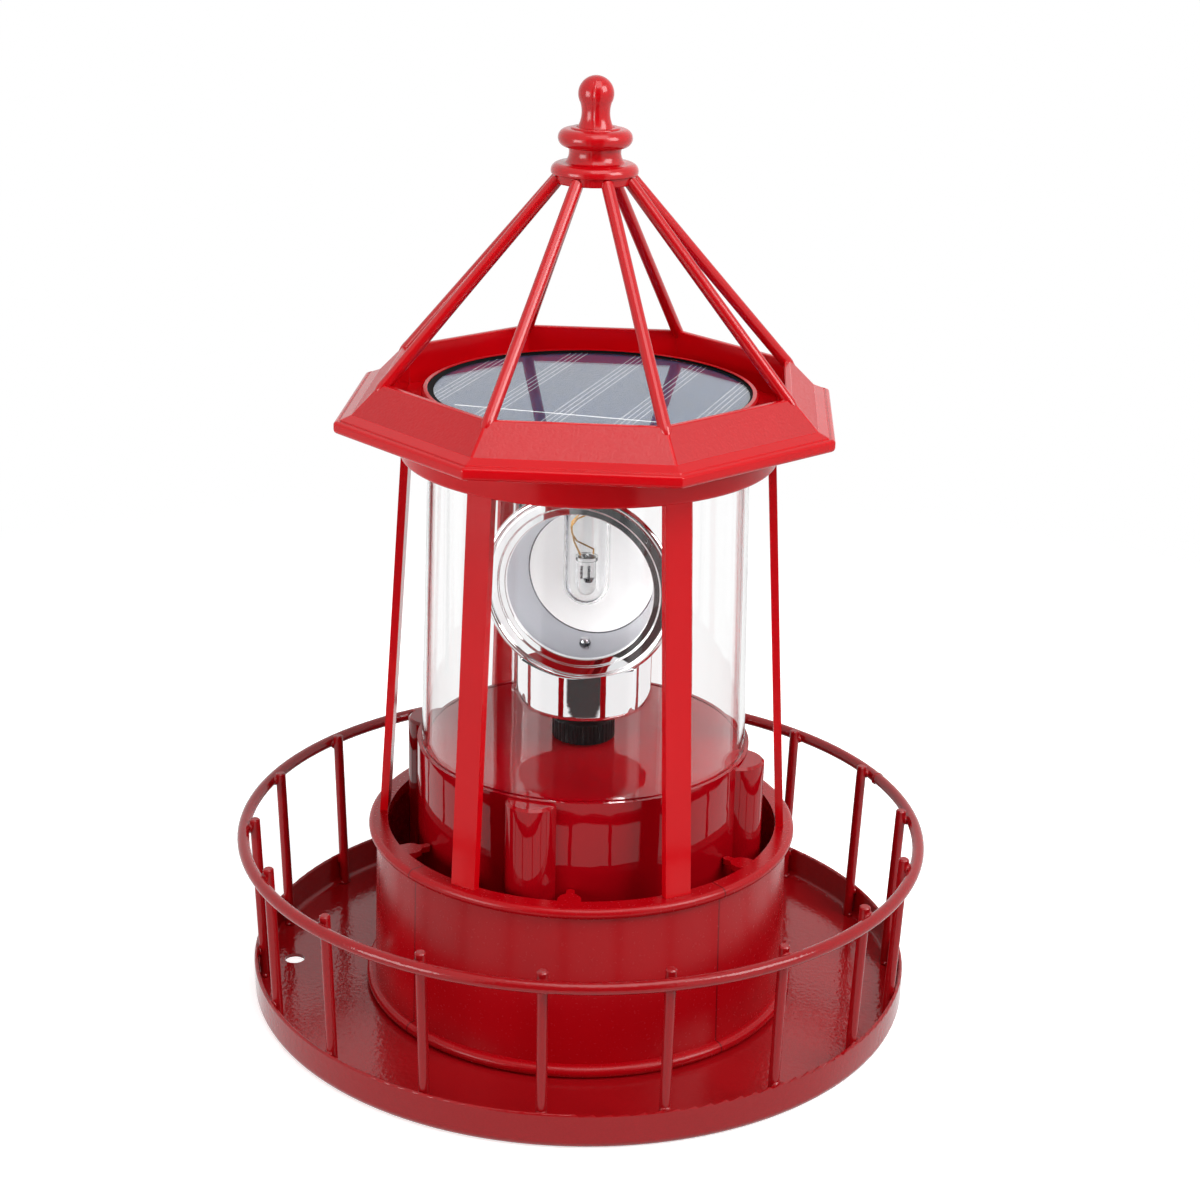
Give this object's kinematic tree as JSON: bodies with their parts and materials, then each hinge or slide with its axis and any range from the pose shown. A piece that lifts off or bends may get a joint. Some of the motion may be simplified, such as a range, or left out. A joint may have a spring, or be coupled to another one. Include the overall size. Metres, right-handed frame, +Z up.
{
  "type": "garden lighthouse ornament",
  "caption": "Red lantern with a revolving mirror in a clear cylinder, on a round tray with a wire railing, under an open ribbed roof with a solar panel and a ball finial.",
  "frame": {"origin": "centre of the tray's underside, on the table", "axes": "+Z up along the lantern's axis, -Y towards the picture's viewer, +X to the viewer's right"},
  "size_m": [0.2212, 0.2212, 0.2933],
  "materials": {
    "coated_steel": "brick-red powder coat with a slight orange peel",
    "red_plastic": "moulded, glossy; finely textured on the roof's sloped panels",
    "clear_plastic": "clear and polished",
    "clear_resin": "clear cast resin",
    "solar_cells": "dark solar cells on a printed board",
    "led_epoxy": "clear moulded epoxy",
    "chrome_plate": "bright plated mirror finish",
    "black_plastic": "moulded, satin",
    "gear_plastic": "natural acetal",
    "board_green": "green lacquered board",
    "battery_sleeve": "plain printed sleeve without lettering",
    "plate_aluminium": "rolled sheet",
    "screw_steel": "zinc-plated steel",
    "brass": "bare brass"
  },
  "bodies": {
    "lantern": {"tray_pan": "coated_steel", "tray_screws": "screw_steel", "railing_ring": "coated_steel", "railing_post_01": "coated_steel", "railing_post_02": "coated_steel", "railing_post_03": "coated_steel", "railing_post_04": "coated_steel", "railing_post_05": "coated_steel", "railing_post_06": "coated_steel", "railing_post_07": "coated_steel", "railing_post_08": "coated_steel", "railing_post_09": "coated_steel", "railing_post_10": "coated_steel", "railing_post_11": "coated_steel", "railing_post_12": "coated_steel", "railing_post_13": "coated_steel", "railing_post_14": "coated_steel", "railing_post_15": "coated_steel", "railing_post_16": "coated_steel", "railing_post_17": "coated_steel", "railing_post_18": "coated_steel", "lower_drum": "red_plastic", "drum_screws": "screw_steel", "cage_frame": "red_plastic", "roof_frame": "red_plastic", "panel_housing": "red_plastic", "solar_board": "solar_cells", "solar_resin": "clear_resin", "clear_cylinder": "clear_plastic", "lead_tube": "clear_plastic", "solar_lead": "black_plastic", "led_tube": "clear_plastic", "led": "led_epoxy", "led_leads": "brass", "lamp_base": "red_plastic", "base_cover": "red_plastic", "cover_screws": "screw_steel", "battery": "battery_sleeve", "battery_contacts": "screw_steel", "battery_door": "red_plastic", "circuit_board": "board_green", "switch_body": "black_plastic", "gear_plate": "plate_aluminium", "plate_screws": "screw_steel", "gear_motor": "screw_steel", "idler_pin": "screw_steel", "shaft_bush": "brass"},
    "reflector": {"drive_hub": "black_plastic", "output_shaft": "screw_steel", "output_gear": "gear_plastic", "reflector_collar": "chrome_plate", "reflector_dish": "chrome_plate", "reflector_screw": "screw_steel"},
    "idler": {"idler_gear": "gear_plastic"},
    "pinion": {"motor_pinion": "brass"},
    "button": {"switch_button": "black_plastic"}
  },
  "joints": [
    {"name": "reflector_spin", "type": "hinge", "parent": "lantern", "child": "reflector", "pos_m": [0, 0, 0.09], "axis": [0, 0, 1], "continuous": true},
    {"name": "idler_spin", "type": "hinge", "parent": "lantern", "child": "idler", "pos_m": [0.0144, 0, 0.066], "axis": [0, 0, 1], "continuous": true},
    {"name": "pinion_spin", "type": "hinge", "parent": "lantern", "child": "pinion", "pos_m": [0.0288, 0, 0.066], "axis": [0, 0, 1], "continuous": true},
    {"name": "switch_push", "type": "slide", "parent": "lantern", "child": "button", "axis": [0, 0, 1], "range_m": [0, 0.0015], "stiffness_N_per_m": 300, "springref_m": -0.001}
  ],
  "couplings": [
    {"joint": "idler_spin", "follows": "reflector_spin", "ratio": -3},
    {"joint": "pinion_spin", "follows": "reflector_spin", "ratio": 9}
  ]
}
